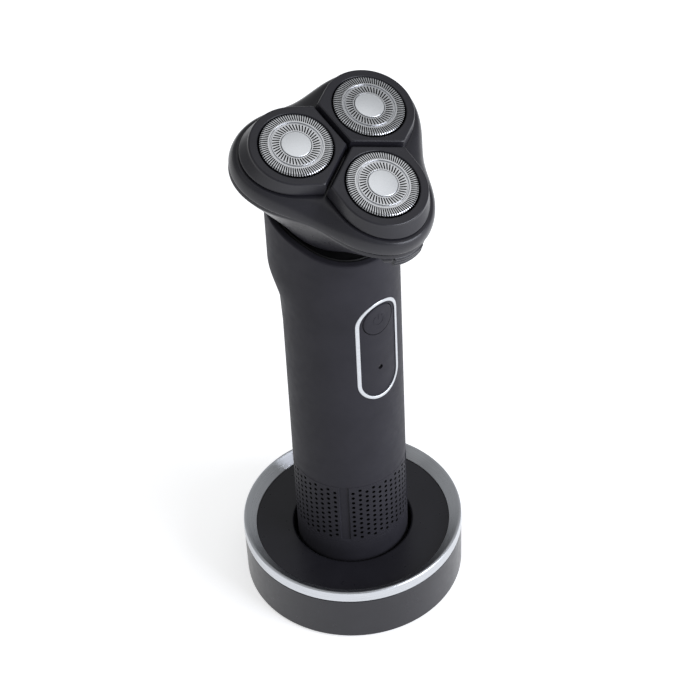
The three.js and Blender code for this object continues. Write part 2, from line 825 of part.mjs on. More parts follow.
function outerCutter() {
  return turned([
    [capRadius + 0.15, -0.85], [capRadius + 0.15, 0], [6.1, 0], [6.3, -0.35], [6.9, -0.35],
    [7.1, 0], [9.3, 0], [cutterRadius, -0.5], [cutterRadius, -2.9], [8.9, -2.9], [8.9, -0.85],
  ], 24);
}

function cutterCap() {
  return turned([[0, -0.95], [capRadius, -0.95], [capRadius, 0.1], [3.7, 0.28], [0, 0.34]], 20);
}

function cutterRetainer() {
  return tube(cutterRadius + 0.05, 8.9, -4.2, -3.2, 24);
}

function innerCutter() {
  const blades = 12;
  let body = rod(8.4, -3.6, -2.6, 20).add(rod(hubRadius, hubBottom, -2.7));
  for (let i = 0; i < blades; i++) {
    const blade = block([5, -0.35, -2.8], [8.2, 0.35, -1.15]);
    body = body.add(blade.rotate([0, 0, 360 * i / blades]));
  }
  return body.subtract(hexagon(2.5, hubBottom - 1, -3.3));
}

const lobeNames = ['front', 'rear_right', 'rear_left'];

lobeNames.forEach((lobeName, lobe) => {
  const lobeGroup = new THREE.Group();
  lobeGroup.rotation.z = rad(120) * lobe;
  head.add(lobeGroup);
  const cutterGroup = new THREE.Group();
  cutterGroup.applyMatrix4(petalMatrix);
  lobeGroup.add(cutterGroup);
  add(`petal_${lobeName}`, petal(), 'satinBlack', lobeGroup);
  add(`drive_gear_${lobeName}`, driveGear(lobe), 'whiteGear', lobeGroup);
  add(`outer_cutter_${lobeName}`, outerCutter(), 'cutterSteel', cutterGroup);
  add(`cutter_cap_${lobeName}`, cutterCap(), 'capAluminium', cutterGroup);
  add(`cutter_retainer_${lobeName}`, cutterRetainer(), 'deepBlack', cutterGroup);
  add(`inner_cutter_${lobeName}`, innerCutter(), 'steel', cutterGroup);
});

export default model;
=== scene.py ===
# A three-head rotary shaver in its round charging stand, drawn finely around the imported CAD
# frame. Shapes are written in millimetres and become metres when their mesh is made. A piece
# of the head is drawn in the frame of the head or of its cutter, which the joints give.
import json
import math

import bmesh
import bpy
from mathutils import Matrix, Vector


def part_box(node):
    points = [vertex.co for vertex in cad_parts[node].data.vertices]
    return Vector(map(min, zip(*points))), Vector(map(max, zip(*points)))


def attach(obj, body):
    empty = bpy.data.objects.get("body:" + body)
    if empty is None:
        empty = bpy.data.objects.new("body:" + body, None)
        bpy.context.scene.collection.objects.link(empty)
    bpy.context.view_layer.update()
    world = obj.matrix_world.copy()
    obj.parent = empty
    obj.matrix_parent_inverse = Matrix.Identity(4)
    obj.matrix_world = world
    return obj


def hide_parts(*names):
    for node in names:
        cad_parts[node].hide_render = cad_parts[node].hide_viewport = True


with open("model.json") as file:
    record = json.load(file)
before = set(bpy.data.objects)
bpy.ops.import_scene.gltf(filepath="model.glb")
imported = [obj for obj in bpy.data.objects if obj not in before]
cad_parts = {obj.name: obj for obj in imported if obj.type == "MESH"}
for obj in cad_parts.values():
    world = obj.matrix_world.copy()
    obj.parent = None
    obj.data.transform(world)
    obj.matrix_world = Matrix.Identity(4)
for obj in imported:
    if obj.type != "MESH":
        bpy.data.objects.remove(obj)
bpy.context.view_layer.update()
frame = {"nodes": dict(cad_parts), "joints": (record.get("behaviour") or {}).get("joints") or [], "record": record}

MM = 0.001
ROUND = 192                # points round a large circle
FINE = 96                  # points round a small one
ARC = 6                    # steps in a rounded corner
HOLD = 0.15                # how far a corner's support line stands off, as a share of its radius
SHARP = 38                 # degrees between faces above which an edge stays crisp
NOISE_FROM, NOISE_TO = 0.3, 0.7    # the range that most values of a noise texture fall in
FLOOR_GLOW = 0.55          # the floor is lit from below too, as on a light table

# ---------------------------------------------------------------- sizes


def span(node):
    """A node's lowest and highest corners, in millimetres."""
    low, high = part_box(node)
    return low / MM, high / MM


HANDLE_R = span("grip_sleeve")[1].x
GRIP_LOW, GRIP_HIGH = span("grip_sleeve")[0].z, span("grip_sleeve")[1].z
CAP_LOW = span("base_cap")[0].z
SEAM_GAP = 0.04            # between the grip band and its neighbours
SHELL_WALL = 1.8
BULGE_DEPTH = 3.4          # swelling at the back over the motor
BULGE_LOW, BULGE_HIGH = 108.4, 123.5
BULGE_FROM, BULGE_FULL = math.radians(70), math.radians(145)

STAND_R = span("stand_shell")[1].x
STAND_TOP = span("stand_trim_ring")[1].z
DECK_R, DECK = span("stand_top_plate")[1].x, span("stand_top_plate")[1].z
CUP_R, CUP_FLOOR = 17.8, 7.2
INLET_HEIGHT = (span("power_inlet")[0].z + span("power_inlet")[1].z) / 2
CONTACT_X = (span("contact_pad_right")[0].x + span("contact_pad_right")[1].x) / 2

PANEL_LOW, PANEL_HIGH = span("panel_trim_ring")[0].z, span("panel_trim_ring")[1].z
PANEL_HALF = span("panel_trim_ring")[1].x
PANEL_BAND = 1.05
BUTTON_R = span("power_button")[1].x
BUTTON_HEIGHT = (span("power_button")[0].z + span("power_button")[1].z) / 2
LAMP_HEIGHT = (span("indicator_lens")[0].z + span("indicator_lens")[1].z) / 2

# the head's own frame: its origin is the middle of the cutting plane
RIM = -28.4                # plane of the handle's rim
CUTTER_CIRCLE = 14.3
CUTTER_R = 9.8
CUTTER_SLOPE = math.tan(math.radians(3))
CAP_R = 4.0
PETAL_TOP, PETAL_BASE = -0.4, -4.4
PETAL_TOP_HALF, PETAL_BASE_HALF = 12.4, 13.0
PETAL_BASE_REACH = 14.7
COVER_TOP = PETAL_BASE - 0.45
COVER_WIDE = -9.5
SEAM = -10.75
LIP_BOTTOM, BOWL_BOTTOM = -12.0, -27.2
BOWL_R, BOWL_SHIFT = 15.4, -0.8
NECK_R, NECK_BORE, NECK_LOW = 12.0, 10.2, -33.4
HINGE_Y, HINGE_Z, HINGE_R = 22.1, -13.4, 1.2
HINGE_BORE, HINGE_ARM, HINGE_END = 0.75, 3.3, 7.5
RIDGES, RIDGE_PITCH = 3, 1.15
RELEASE_TOP = -12.3
RELEASE_BOTTOM = RELEASE_TOP - RIDGES * RIDGE_PITCH

LOBES = ("front", "rear_right", "rear_left")
joints = {joint["name"]: joint for joint in frame["joints"]}


def joint_point(name):
    return Vector(joints[name]["pos_m"])


def joint_axis(name):
    return Vector(joints[name]["axis"]).normalized()


def frame_at(x_axis, z_axis, origin):
    y_axis = z_axis.cross(x_axis)
    matrix = Matrix((x_axis, y_axis, z_axis)).transposed().to_4x4()
    matrix.translation = origin
    return matrix


cutter_middles = [joint_point(f"inner_cutter_{lobe}_spin") for lobe in LOBES]
HEAD = frame_at(
    Vector((1, 0, 0)), joint_axis("motor_spin"), sum(cutter_middles, Vector()) / len(LOBES)
)
CUTTERS = {
    lobe: frame_at(
        joint_axis(f"petal_{lobe}_float"), joint_axis(f"inner_cutter_{lobe}_spin"), middle
    )
    for lobe, middle in zip(LOBES, cutter_middles)
}
REST = Matrix.Identity(4)

# ---------------------------------------------------------------- materials


class Finish:
    """A material whose colour, roughness and bump come from nodes."""

    def __init__(self, name, **sockets):
        self.material = bpy.data.materials.new(name)
        self.material.use_nodes = True
        self.tree = self.material.node_tree
        self.shader = self.tree.nodes["Principled BSDF"]
        for key, value in sockets.items():
            socket = key.replace("_", " ").title().replace("Ior", "IOR")
            self.shader.inputs[socket].default_value = value
        self.place = self.node("ShaderNodeTexCoord").outputs["Object"]
        self.normal = None

    def node(self, kind, inputs=None, **settings):
        made = self.tree.nodes.new(kind)
        for key, value in settings.items():
            setattr(made, key, value)
        for key, value in (inputs or {}).items():
            if isinstance(value, bpy.types.NodeSocket):
                self.tree.links.new(value, made.inputs[key])
            else:
                made.inputs[key].default_value = value
        return made

    def noise(self, size, detail=3.0, where=None):
        """Noise whose patches are about size millimetres across."""
        inputs = {"Vector": where or self.place, "Scale": 1 / (size * MM), "Detail": detail}
        return self.node("ShaderNodeTexNoise", inputs).outputs["Fac"]

    def math(self, operation, first, second=0.0):
        return self.node("ShaderNodeMath", {0: first, 1: second}, operation=operation).outputs[0]

    def spread(self, value, low, high):
        """A noise's values, spread from low to high."""
        inputs = {"Value": value, "From Min": NOISE_FROM, "From Max": NOISE_TO}
        inputs.update({"To Min": low, "To Max": high})
        return self.node("ShaderNodeMapRange", inputs).outputs["Result"]

    def stretched(self, x, y, z):
        return self.node(
            "ShaderNodeVectorMath", {0: self.place, 1: (x, y, z)}, operation="MULTIPLY"
        ).outputs[0]

    def turned(self, fine, along):
        """Coordinates that run round the Z axis, for the marks of turning or polishing."""
        parts = self.node("ShaderNodeSeparateXYZ", {0: self.place}).outputs
        squares = [self.math("MULTIPLY", part, part) for part in (parts[0], parts[1])]
        radius = self.math("SQRT", self.math("ADD", *squares))
        angle = self.math("ARCTAN2", parts[1], parts[0])
        return self.node("ShaderNodeCombineXYZ", {
            0: self.math("MULTIPLY", radius, fine),
            1: self.math("MULTIPLY", angle, along),
            2: self.math("MULTIPLY", parts[2], fine),
        }).outputs[0]

    def colour(self, value, dark, light):
        inputs = {0: self.spread(value, 0.0, 1.0), 6: (*dark, 1), 7: (*light, 1)}
        blend = self.node("ShaderNodeMix", inputs, data_type="RGBA")
        self.tree.links.new(blend.outputs[2], self.shader.inputs["Base Color"])

    def rough(self, value, low, high):
        self.tree.links.new(self.spread(value, low, high), self.shader.inputs["Roughness"])

    def bump(self, height, depth, strength):
        """Adds relief of a depth in millimetres over what is there already."""
        inputs = {"Height": height, "Distance": depth * MM, "Strength": strength}
        if self.normal:
            inputs["Normal"] = self.normal
        self.normal = self.node("ShaderNodeBump", inputs).outputs["Normal"]
        self.tree.links.new(self.normal, self.shader.inputs["Normal"])


def moulded(name, dark, light, smoothest, roughest, grain, relief, **sockets):
    """Moulded plastic: faint mottling under a fine eroded grain."""
    finish = Finish(name, **sockets)
    finish.colour(finish.noise(9), dark, light)
    finish.rough(finish.noise(2.5), smoothest, roughest)
    finish.bump(finish.noise(grain, 2), relief, 0.5)
    finish.bump(finish.noise(6), 0.01, 0.3)
    return finish


def satin_black():
    return moulded(
        "satin_black", (0.0135, 0.013, 0.0168), (0.0165, 0.016, 0.0205), 0.27, 0.34, 0.16, 0.004,
        specular_ior_level=0.36,
    )


def soft_black():
    return moulded(
        "soft_black", (0.019, 0.0183, 0.0232), (0.023, 0.0222, 0.028), 0.5, 0.58, 0.22, 0.01,
        specular_ior_level=0.1, sheen_weight=0.02,
    )


# near-black: in the grip's holes and the cutters' slots it is painted shade; it is also the colour of the neck
# band and the cutter retainers
def deep_black():
    return moulded(
        "deep_black", (0.002, 0.002, 0.002), (0.003, 0.003, 0.003), 0.45, 0.55, 0.2, 0.008,
        specular_ior_level=0.3,
    )


def rubber():
    return moulded(
        "rubber", (0.006, 0.006, 0.0065), (0.01, 0.01, 0.0105), 0.78, 0.9, 0.35, 0.03,
        specular_ior_level=0.3,
    )


def gear_plastic():
    return moulded(
        "gear_plastic", (0.62, 0.59, 0.5), (0.7, 0.68, 0.6), 0.4, 0.5, 0.3, 0.008
    )


def turned_metal(name, dark, light, smoothest, roughest, fine, along, relief):
    """Metal with fine marks that run round its axis."""
    finish = Finish(name, metallic=1.0)
    marks = finish.noise(1000, 4, finish.turned(fine, along))
    finish.colour(marks, dark, light)
    finish.rough(marks, smoothest, roughest)
    finish.bump(marks, relief, 0.6)
    finish.bump(finish.noise(5), 0.004, 0.3)
    return finish


def bright_trim():
    return turned_metal(
        "bright_trim", (0.5, 0.515, 0.54), (0.63, 0.645, 0.67), 0.26, 0.38, 9000, 3, 0.004
    )


def cutter_steel():
    return turned_metal(
        "cutter_steel", (0.5, 0.51, 0.53), (0.68, 0.69, 0.71), 0.16, 0.26, 12000, 6, 0.002
    )


def cap_aluminium():
    return turned_metal(
        "cap_aluminium", (0.74, 0.76, 0.79), (0.84, 0.86, 0.88), 0.3, 0.4, 14000, 4, 0.002
    )


def steel():
    finish = Finish("steel", metallic=1.0)
    marks = finish.noise(0.4, 4, finish.stretched(0.08, 1, 1))
    finish.colour(marks, (0.42, 0.43, 0.45), (0.56, 0.57, 0.59))
    finish.rough(finish.noise(3), 0.28, 0.42)
    finish.bump(marks, 0.004, 0.4)
    return finish


def gold_contact():
    finish = Finish("gold_contact", metallic=1.0)
    finish.colour(finish.noise(1.2), (0.62, 0.42, 0.13), (0.78, 0.56, 0.2))
    finish.rough(finish.noise(0.5), 0.2, 0.34)
    finish.bump(finish.noise(0.2), 0.002, 0.4)
    return finish


def circuit_board():
    finish = Finish("circuit_board")
    inputs = {"Vector": finish.place, "Scale": 1 / (1.8 * MM)}
    cells = finish.node("ShaderNodeTexVoronoi", inputs, distance="CHEBYCHEV").outputs["Distance"]
    finish.colour(cells, (0.01, 0.07, 0.025), (0.02, 0.13, 0.045))
    finish.rough(finish.noise(2), 0.3, 0.45)
    finish.bump(cells, 0.03, 0.4)
    return finish


def cell_wrap():
    finish = Finish("cell_wrap")
    finish.colour(finish.noise(12), (0.02, 0.08, 0.26), (0.03, 0.11, 0.34))
    finish.rough(finish.noise(3), 0.24, 0.36)
    finish.bump(finish.noise(4), 0.03, 0.4)
    return finish


def lamp():
    finish = Finish("lamp", coat_weight=0.5)
    finish.colour(finish.noise(0.5), (0.002, 0.002, 0.002), (0.006, 0.006, 0.006))
    finish.rough(finish.noise(0.3), 0.1, 0.2)
    finish.bump(finish.noise(0.2), 0.003, 0.3)
    return finish


def floor_paper():
    finish = Finish("floor_paper", emission_color=(1, 1, 1, 1), emission_strength=FLOOR_GLOW)
    finish.colour(finish.noise(60), (0.86, 0.86, 0.86), (0.88, 0.88, 0.88))
    finish.rough(finish.noise(20), 0.85, 0.95)
    finish.bump(finish.noise(1.5), 0.01, 0.2)
    return finish


MAKERS = (
    satin_black, soft_black, deep_black, rubber, gear_plastic, bright_trim, cutter_steel,
    cap_aluminium, steel, gold_contact, circuit_board, cell_wrap, lamp,
)
materials = {maker.__name__: maker().material for maker in MAKERS}

# ---------------------------------------------------------------- outlines and rings


def mix(first, second, share):
    return first + (second - first) * share


def smoothstep(value, start, end):
    t = min(1.0, max(0.0, (value - start) / (end - start)))
    return t * t * (3 - 2 * t)


def turns(count):
    return [2 * math.pi * i / count for i in range(count)]


def rounded(points):
    """A polygon, with an arc at each point that gives a radius as its third value. A line of
    points just outside the arc keeps the flat beside it flat when it is shaded."""
    result = []
    for i, point in enumerate(points):
        corner = Vector(point[:2])
        if len(point) == 2:
            result.append(corner)
            continue
        radius = point[2]
        before = (Vector(points[i - 1][:2]) - corner).normalized()
        after = (Vector(points[(i + 1) % len(points)][:2]) - corner).normalized()
        half = before.angle(after) / 2
        reach = radius / math.tan(half)
        centre = corner + (before + after).normalized() * radius / math.sin(half)
        start, end = corner + before * reach, corner + after * reach
        first = math.atan2(*(start - centre).yx)
        sweep = math.atan2(*(end - centre).yx) - first
        sweep = (sweep + math.pi) % (2 * math.pi) - math.pi
        result.append(start + before * radius * HOLD)
        for step in range(ARC + 1):
            angle = first + sweep * step / ARC
            result.append(centre + Vector((math.cos(angle), math.sin(angle))) * radius)
        result.append(end + after * radius * HOLD)
    return result


def circle(radius, height, count=ROUND, x=0.0, y=0.0):
    return [
        Vector((x + radius * math.sin(a), y - radius * math.cos(a), height)) for a in turns(count)
    ]


def oval(inset):
    """Points (x, z) round the panel's outline, moved in by inset."""
    half, steps = PANEL_HALF - inset, 32
    middles = (PANEL_HIGH - PANEL_HALF, PANEL_LOW + PANEL_HALF)
    points = []
    for end, middle in enumerate(middles):
        for step in range(steps + 1):
            angle = math.pi * (end + step / steps)
            points.append(Vector((half * math.cos(angle), middle + half * math.sin(angle))))
    return points


# ---------------------------------------------------------------- meshes


def built(name, vertices, faces, place=REST):
    """An object from points in millimetres, with its faces turned outwards."""
    mesh = bpy.data.meshes.new(name)
    mesh.from_pydata([tuple(v * MM) for v in vertices], [], faces)
    work = bmesh.new()
    work.from_mesh(mesh)
    bmesh.ops.remove_doubles(work, verts=work.verts, dist=1e-8)
    bmesh.ops.recalc_face_normals(work, faces=work.faces)
    work.to_mesh(mesh)
    work.free()
    mesh.materials.append(materials["satin_black"])
    made = bpy.data.objects.new(name, mesh)
    bpy.context.scene.collection.objects.link(made)
    made.matrix_world = place
    return made


def loft(name, rings, place=REST, loop=False, caps=True):
    """A skin through rings of equal length, which closes on itself or is capped."""
    count = len(rings[0])
    levels = list(zip(range(len(rings) - 1), range(1, len(rings))))
    if loop:
        levels.append((len(rings) - 1, 0))
    faces = []
    for low, high in levels:
        for i in range(count):
            j = (i + 1) % count
            faces.append((low * count + i, low * count + j, high * count + j, high * count + i))
    if caps and not loop:
        faces.append(tuple(reversed(range(count))))
        faces.append(tuple(range((len(rings) - 1) * count, len(rings) * count)))
    return built(name, [point for ring in rings for point in ring], faces, place)


def lathe(name, profile, place=REST, count=ROUND, x=0.0, y=0.0):
    """A profile of (radius, height) turned about Z. A third value rounds a corner."""
    points = rounded(profile)
    on_axis = profile[0][0] == 0 and profile[-1][0] == 0
    rings = [circle(max(p.x, 0.0), p.y, count, x, y) for p in points]
    return loft(name, rings, place, loop=not on_axis, caps=False)


def extruded(name, outline, low, high, axis, place=REST):
    """An outline in two coordinates, pushed from low to high along the third."""
    def at(point, depth):
        corner = [point[0], point[1]]
        corner.insert("xyz".index(axis), depth)
        return Vector(corner)
    return loft(name, [[at(p, depth) for p in outline] for depth in (low, high)], place)


def block(name, low, high, place=REST):
    outline = [(low[0], low[1]), (high[0], low[1]), (high[0], high[1]), (low[0], high[1])]
    return extruded(name, outline, low[2], high[2], "z", place)


def evaluated(piece):
    """Makes a piece's modifiers part of its mesh."""
    bpy.context.view_layer.update()
    graph = bpy.context.evaluated_depsgraph_get()
    mesh = bpy.data.meshes.new_from_object(piece.evaluated_get(graph))
    old = piece.data
    piece.modifiers.clear()
    piece.data = mesh
    bpy.data.meshes.remove(old)


def combine(piece, operation, *tools):
    for tool in tools:
        if not tool.data.materials:
            tool.data.materials.append(piece.data.materials[0])
        modifier = piece.modifiers.new("combine", "BOOLEAN")
        modifier.operation = operation
        modifier.solver = "EXACT"
        modifier.material_mode = "TRANSFER"
        modifier.object = tool
        evaluated(piece)
        bpy.data.objects.remove(tool)
    return piece


def cut(piece, *tools):
    return combine(piece, "DIFFERENCE", *tools)


def weld(piece, *tools):
    return combine(piece, "UNION", *tools)


def joined(name, parts):
    """Separate solids as one object, in the world's frame, with the first one's material."""
    work = bmesh.new()
    paint = parts[0].data.materials[0]
    for part in parts:
        part.data.transform(part.matrix_world)
        work.from_mesh(part.data)
        bpy.data.objects.remove(part)
    mesh = bpy.data.meshes.new(name)
    work.to_mesh(mesh)
    work.free()
    mesh.materials.append(paint)
    made = bpy.data.objects.new(name, mesh)
    bpy.context.scene.collection.objects.link(made)
    return made


def painted(piece, slot):
    piece.data.materials.clear()
    piece.data.materials.append(materials[slot])
    return piece


def finished(piece, slot, body, *nodes):
    """Gives a piece its slot's material, smooth shading and body, and hides what it replaces."""
    piece.data.materials[0] = materials[slot]
    work = bmesh.new()
    work.from_mesh(piece.data)
    bmesh.ops.remove_doubles(work, verts=work.verts, dist=1e-7)
    bmesh.ops.dissolve_degenerate(work, edges=work.edges, dist=1e-7)
    work.to_mesh(piece.data)
    work.free()
    piece.data.shade_smooth()
    piece.data.set_sharp_from_angle(angle=math.radians(SHARP))
    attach(piece, body)
    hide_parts(*nodes)


# ---------------------------------------------------------------- stand


def inlet_outline(half_width, half_height, radius):
    low, high = INLET_HEIGHT - half_height, INLET_HEIGHT + half_height
    corners = [(-half_width, low), (half_width, low), (half_width, high), (-half_width, high)]
    return rounded([(*corner, radius) for corner in corners])


def stand_shell():
    wall, foot, top = 1.6, span("stand_shell")[0].z, span("stand_shell")[1].z
    piece = lathe("stand_wall", [
        (STAND_R - 2.1, foot), (STAND_R - 0.6, foot, 0.35), (STAND_R - 0.1, foot + 0.5, 0.4),
        (STAND_R, top, 0.2), (STAND_R - wall, top), (STAND_R - wall - 0.4, foot),
    ])
    opening = extruded("opening", inlet_outline(5.2, 2.3, 1.9), 20, 40, "y")
    finished(cut(piece, opening), "satin_black", "stand", "stand_shell")


def stand_trim_ring():
    low = span("stand_trim_ring")[0].z
    inner = DECK_R + 0.05
    piece = lathe("stand_bright_ring", [
        (inner, low), (STAND_R + 0.1, low, 0.15), (STAND_R, STAND_TOP, 0.55),
        (STAND_R - 0.75, STAND_TOP, 0.3), (inner, DECK + 0.1),
    ])
    finished(piece, "bright_trim", "stand", "stand_trim_ring")


def stand_deck():
    wall = 1.4
    under, cup, cup_under = DECK - wall, CUP_R + wall, CUP_FLOOR - wall
    piece = lathe("stand_deck", [
        (0, cup_under), (cup, cup_under, 0.6), (cup, under), (DECK_R, under),
        (DECK_R, DECK, 0.2), (CUP_R, DECK, 0.8), (CUP_R, CUP_FLOOR, 0.8), (0, CUP_FLOOR),
    ])
    holes = [lathe("hole", [(0, 5), (1.3, 5), (1.3, 8), (0, 8)], count=FINE, x=x)
             for x in (-CONTACT_X, CONTACT_X)]
    finished(cut(piece, *holes), "satin_black", "stand", "stand_top_plate")


def stand_underside():
    low, high = span("stand_base_plate")
    plate = lathe("stand_base", [
        (0, low.z), (high.x, low.z, 0.3), (high.x, high.z, 0.3), (0, high.z),
    ])
    finished(plate, "satin_black", "stand", "stand_base_plate")
    pad_r, pad_top = span("anti_slip_pad")[1].x, span("anti_slip_pad")[1].z
    grooves, groove_half, groove_depth = (12, 16, 20, 24), 0.5, 0.35
    profile = [(0, 0)]
    for radius in grooves:
        profile += [
            (radius - groove_half, 0, 0.1), (radius - groove_half, groove_depth),
            (radius + groove_half, groove_depth), (radius + groove_half, 0, 0.1),
        ]
    pad = lathe("stand_pad", profile + [(pad_r, 0, 0.25), (pad_r, pad_top, 0.2), (0, pad_top)])
    finished(pad, "rubber", "stand", "anti_slip_pad")


def power_inlet():
    low, high = span("power_inlet")
    wide, tall, shell, back_wall, tongue_end = 4.9, 2, 0.65, 1.5, 1.1
    piece = extruded("inlet_shell", inlet_outline(wide, tall, 1.7), low.y, high.y, "y")
    inside, blade = inlet_outline(wide - shell, tall - shell, 1.3), inlet_outline(3.3, 0.35, 0.15)
    hollow = extruded("hollow", inside, low.y + back_wall, 40, "y")
    tongue = extruded("tongue", blade, low.y + 0.5, high.y - tongue_end, "y")
    finished(weld(cut(piece, hollow), tongue), "steel", "stand", "power_inlet")


def charging_pins():
    for side, x in (("left", -CONTACT_X), ("right", CONTACT_X)):
        node = f"charging_pin_{side}"
        low, high = span(node)
        pin = lathe(f"sprung_contact_{side}", [
            (0, low.z), (1.5, low.z, 0.08), (1.5, low.z + 0.4, 0.08), (1, low.z + 0.4),
            (1, high.z, 0.45), (0, high.z),
        ], count=FINE, x=x)
        finished(pin, "gold_contact", node, node)


# ---------------------------------------------------------------- handle


def swelling(angle):
    from_front = min(angle, 2 * math.pi - angle)
    return BULGE_DEPTH * smoothstep(from_front, BULGE_FROM, BULGE_FULL)


def rim_height(x, y):
    """Height of the plane of the handle's rim, which is square to the head's axis."""
    normal, origin = HEAD.col[2].xyz, HEAD.translation / MM
    return origin.z + (RIM - normal.x * (x - origin.x) - normal.y * (y - origin.y)) / normal.z


def handle_ring(inset, height=None, below_rim=None):
    """A ring of the handle's skin at one height, or at a distance below the slanted rim."""
    points = []
    for angle in turns(ROUND):
        full = 1.0 if height is None else smoothstep(height, BULGE_LOW, BULGE_HIGH)
        radius = HANDLE_R + swelling(angle) * full - inset
        x, y = radius * math.sin(angle), -radius * math.cos(angle)
        z = rim_height(x, y) - below_rim if height is None else height
        points.append(Vector((x, y, z)))
    return points


def handle_shell():
    edge, lip, inner_lip, depth = 0.12, 0.5, 0.35, 9
    low = GRIP_HIGH + SEAM_GAP
    levels = [low + 0.2, low + 6, 80, 104]
    levels += [mix(BULGE_LOW, BULGE_HIGH, share / 16) for share in range(17)]
    rings = [handle_ring(edge, low), handle_ring(0.03, low + 0.03), handle_ring(0, low + edge)]
    rings += [handle_ring(0, z) for z in levels]
    rim = rounded([(0, depth), (0, 0, lip), (SHELL_WALL, 0, inner_lip), (SHELL_WALL, depth)])
    rings += [handle_ring(p.x, below_rim=p.y) for p in rim if p.y < depth or p.x > 0]
    rings.append(handle_ring(SHELL_WALL, low))
    piece = loft("handle_skin", rings, loop=True)
    opening = extruded("opening", oval(-0.04), -30, -10, "y")
    finished(cut(piece, opening), "soft_black", "handle", "handle_shell")


def painted_shade_grip_holes():
    """Staggered round holes in four fields, between the strips at the corners. Their walls and floors are painted
    near-black, as painted shade in the holes.
    """
    columns, column_pitch, row_pitch, radius, depth = 11, 2.1, 2.0, 0.525, 1.1
    middle = (GRIP_LOW + GRIP_HIGH) / 2 + 0.2
    holes = []
    for field in range(4):
        for column in range(columns):
            angle = math.pi / 2 * field + (column - (columns - 1) / 2) * column_pitch / HANDLE_R
            rows = 10 + column % 2
            for row in range(rows):
                height = middle + (row - (rows - 1) / 2) * row_pitch
                outwards = Vector((math.sin(angle), -math.cos(angle), 0))
                place = frame_at(Vector((0, 0, 1)), outwards, outwards * HANDLE_R * MM)
                place.translation += Vector((0, 0, height * MM))
                profile = [(0, -depth), (radius, -depth), (radius, 1), (0, 1)]
                holes.append(lathe("hole", profile, place, count=14))
    # the holes' walls and floors take this near-black as painted shade in the recesses
    return painted(joined("holes", holes), "deep_black")


def grip_strips():
    """Shallow channels with soft sides, open at the top of the band and closed below."""
    half_width, side, depth, land, end = 1.5, 0.2, 0.5, 1.0, 0.4
    low, steps = GRIP_LOW + land, 60
    levels = [(low + end * share / 8, smoothstep(share, 0, 8)) for share in range(9)]
    levels.append((GRIP_HIGH + 2, 1.0))
    strips = []
    for corner in range(4):
        middle = math.pi / 4 + math.pi / 2 * corner
        rings = []
        for height, fullness in levels:
            inside = []
            for step in range(steps + 1):
                across = half_width * (2 * step / steps - 1)
                sunk = depth * smoothstep(half_width - abs(across), 0, side) * fullness
                angle, radius = middle + across / HANDLE_R, HANDLE_R + 0.01 - sunk
                inside.append(Vector((radius * math.sin(angle), -radius * math.cos(angle), height)))
            outside = [point * 1.1 for point in (inside[-1], inside[0])]
            rings.append(inside + [Vector((point.x, point.y, height)) for point in outside])
        strips.append(loft("strip", rings))
    return painted(joined("strips", strips), "soft_black")


def grip_sleeve():
    inner = HANDLE_R - SHELL_WALL
    piece = lathe("perforated_grip", [
        (inner, GRIP_LOW), (HANDLE_R, GRIP_LOW, 0.14), (HANDLE_R, GRIP_HIGH, 0.14),
        (inner, GRIP_HIGH),
    ])
    painted(piece, "soft_black")
    cut(piece, grip_strips(), painted_shade_grip_holes())
    finished(piece, "soft_black", "handle", "grip_sleeve")


def base_cap():
    inner, floor, high = HANDLE_R - SHELL_WALL, CAP_LOW + 1.6, GRIP_LOW - SEAM_GAP
    piece = lathe("handle_foot", [
        (0, CAP_LOW), (HANDLE_R, CAP_LOW, 0.8), (HANDLE_R, high, 0.12), (inner, high),
        (inner, floor), (0, floor),
    ])
    holes = [lathe("hole", [(0, 0), (1.9, 0), (1.9, 12), (0, 12)], count=FINE, x=x)
             for x in (-CONTACT_X, CONTACT_X)]
    finished(cut(piece, *holes), "soft_black", "handle", "base_cap")


def contact_pads():
    for side, x in (("left", -CONTACT_X), ("right", CONTACT_X)):
        node = f"contact_pad_{side}"
        low, high = span(node)
        pad = lathe(f"charging_contact_{side}", [
            (0, low.z + 0.15), (1.0, low.z + 0.15, 0.3), (1.1, low.z, 0.1), (1.6, low.z, 0.12),
            (1.6, high.z), (0, high.z),
        ], count=FINE, x=x)
        finished(pad, "gold_contact", "handle", node)


def on_handle(x, z, lift):
    """A point of the front, raised by lift over the handle's round surface."""
    return Vector((x, -math.sqrt((HANDLE_R + lift) ** 2 - x * x), z))


def panel_trim_ring():
    crown, edge, root = 0.15, 0.14, -1.3
    section = [
        (0, root), (0, crown - 0.2), (0.02, crown - 0.1), (0.07, crown - 0.04),
        (edge, crown - 0.01), (edge + 0.05, crown), (PANEL_BAND - edge - 0.05, crown),
        (PANEL_BAND - edge, crown - 0.01),
        (PANEL_BAND - 0.07, crown - 0.04), (PANEL_BAND - 0.02, crown - 0.1),
        (PANEL_BAND, crown - 0.2), (PANEL_BAND, root),
    ]
    rings = [[on_handle(p.x, p.y, lift) for p in oval(inset)] for inset, lift in section]
    piece = loft("panel_bright_ring", rings, loop=True)
    finished(piece, "bright_trim", "handle", "panel_trim_ring")


def control_panel():
    sunk, thick, edge, low, high = -0.25, 1.4, PANEL_BAND + 0.03, 75, 125
    piece = extruded("panel_face", oval(edge), -30, -10, "y")
    skin = lathe("skin", [
        (HANDLE_R + sunk - thick, low), (HANDLE_R + sunk, low), (HANDLE_R + sunk, high),
        (HANDLE_R + sunk - thick, high),
    ], count=2 * ROUND)
    combine(piece, "INTERSECT", skin)
    outward = frame_at(Vector((1, 0, 0)), Vector((0, -1, 0)), Vector((0, 0, 0)))
    wells = [(BUTTON_R + 0.22, BUTTON_HEIGHT, FINE), (0.8, LAMP_HEIGHT, 24)]
    for radius, height, count in wells:
        place = outward.copy()
        place.translation = Vector((0, 0, height * MM))
        profile = [(0, 10), (radius, 10), (radius, 20), (0, 20)]
        cut(piece, lathe("well", profile, place, count=count))
    finished(piece, "soft_black", "handle", "control_panel")


